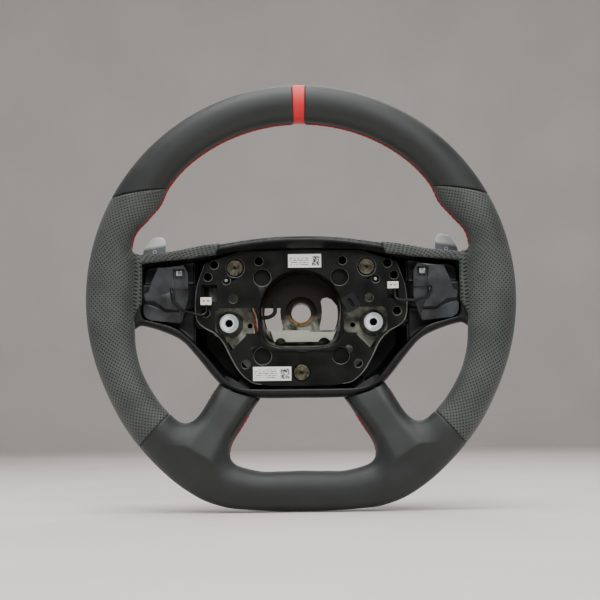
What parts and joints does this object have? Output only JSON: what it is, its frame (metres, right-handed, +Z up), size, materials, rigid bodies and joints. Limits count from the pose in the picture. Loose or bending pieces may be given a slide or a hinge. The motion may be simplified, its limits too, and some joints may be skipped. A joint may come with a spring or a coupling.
{
  "type": "steering wheel",
  "caption": "Leather-wrapped steering wheel with a squared-off bottom, four spokes, shift paddles and an open hub that takes a centre module.",
  "frame": {"origin": "middle of the hub's splined bore, on the steering axis", "axes": "+X to the driver's right, +Z up, +Y along the steering axis away from the driver"},
  "size_m": [0.38, 0.0875, 0.3768],
  "materials": {
    "steel_core": "bare drawn steel",
    "cast_alloy": "as-cast light alloy",
    "hub_steel": "bronze-toned machined insert",
    "foam": "moulded integral-skin foam",
    "leather_smooth": "matt nappa leather",
    "leather_perforated": "perforated leather",
    "leather_red": "red leather",
    "shell_plastic": "soft black grained plastic",
    "cover_plastic": "fine-grained black plastic",
    "plate_plastic": "glass-filled black plastic",
    "wire": "coloured wire insulation",
    "module_plastic": "black housing plastic",
    "clip_nylon": "black nylon",
    "label": "white printed label",
    "screw_steel": "black zinc",
    "pin_steel": "bright steel",
    "plug_plastic": "white plug housing",
    "cable_sleeve": "black sleeve",
    "bracket_plastic": "dark grey plastic",
    "clip_metal": "spring steel",
    "paddle_metal": "satin silver",
    "lever_plastic": "black moulded lever",
    "bracket_steel": "black pressed steel",
    "spring_steel": "spring wire",
    "pad_metal": "tan plated contact",
    "cup_plastic": "black cup"
  },
  "bodies": {
    "wheel": {"rim_core": "steel_core", "hub_casting": "cast_alloy", "hub_cross_bar": "cast_alloy", "hub_collar": "cast_alloy", "spline_hub": "hub_steel", "rim_foam": "foam", "leather_top_left": "leather_smooth", "leather_top_right": "leather_smooth", "centre_stripe": "leather_red", "leather_grip_left": "leather_perforated", "leather_grip_right": "leather_perforated", "leather_bottom": "leather_smooth", "lower_spoke_wrap_left": "leather_smooth", "lower_spoke_wrap_right": "leather_smooth", "spoke_wrap_left": "leather_perforated", "spoke_wrap_right": "leather_perforated", "hub_shell": "shell_plastic", "back_cover": "cover_plastic", "carrier_plate": "plate_plastic", "harness_wires": "wire", "horn_module": "module_plastic", "cable_clip": "clip_nylon", "cable_hook": "clip_nylon", "label_upper": "label", "label_lower": "label", "carrier_screws": "screw_steel", "back_cover_screws": "screw_steel", "retaining_pins": "pin_steel", "switch_plug_left": "plug_plastic", "switch_cable_left": "cable_sleeve", "switch_bracket_left": "bracket_plastic", "switch_clip_left": "clip_metal", "paddle_pin_left": "pin_steel", "paddle_bracket_left": "bracket_steel", "paddle_spring_left": "spring_steel", "paddle_switch_left": "module_plastic", "switch_plug_right": "plug_plastic", "switch_cable_right": "cable_sleeve", "switch_bracket_right": "bracket_plastic", "switch_clip_right": "clip_metal", "paddle_pin_right": "pin_steel", "paddle_bracket_right": "bracket_steel", "paddle_spring_right": "spring_steel", "paddle_switch_right": "module_plastic", "pad_cup_left": "cup_plastic", "contact_spring_left": "spring_steel", "pad_cup_right": "cup_plastic", "contact_spring_right": "spring_steel", "pad_cup_bottom": "cup_plastic", "contact_spring_bottom": "spring_steel"},
    "paddle_left": {"paddle_blade_left": "paddle_metal", "paddle_lever_left": "lever_plastic", "paddle_screws_left": "screw_steel"},
    "paddle_right": {"paddle_blade_right": "paddle_metal", "paddle_lever_right": "lever_plastic", "paddle_screws_right": "screw_steel"},
    "pad_left": {"contact_pad_left": "pad_metal"},
    "pad_right": {"contact_pad_right": "pad_metal"},
    "pad_bottom": {"contact_pad_bottom": "pad_metal"}
  },
  "joints": [
    {"name": "paddle_left_pull", "type": "hinge", "parent": "wheel", "child": "paddle_left", "pos_m": [-0.092, -0.02, 0.007], "axis": [0, 0, 1], "range_deg": [0, 6], "stiffness_Nm_per_rad": 1, "springref_deg": -5.73, "deforming": ["paddle_spring_left"]},
    {"name": "paddle_right_pull", "type": "hinge", "parent": "wheel", "child": "paddle_right", "pos_m": [0.092, -0.02, 0.007], "axis": [0, 0, -1], "range_deg": [0, 6], "stiffness_Nm_per_rad": 1, "springref_deg": -5.73, "deforming": ["paddle_spring_right"]},
    {"name": "pad_left_press", "type": "slide", "parent": "wheel", "child": "pad_left", "axis": [0, 1, 0], "range_m": [0, 0.0025], "stiffness_N_per_m": 2000, "springref_m": -0.002, "deforming": ["contact_spring_left"]},
    {"name": "pad_right_press", "type": "slide", "parent": "wheel", "child": "pad_right", "axis": [0, 1, 0], "range_m": [0, 0.0025], "stiffness_N_per_m": 2000, "springref_m": -0.002, "deforming": ["contact_spring_right"]},
    {"name": "pad_bottom_press", "type": "slide", "parent": "wheel", "child": "pad_bottom", "axis": [0, 1, 0], "range_m": [0, 0.0025], "stiffness_N_per_m": 2000, "springref_m": -0.002, "deforming": ["contact_spring_bottom"]}
  ]
}
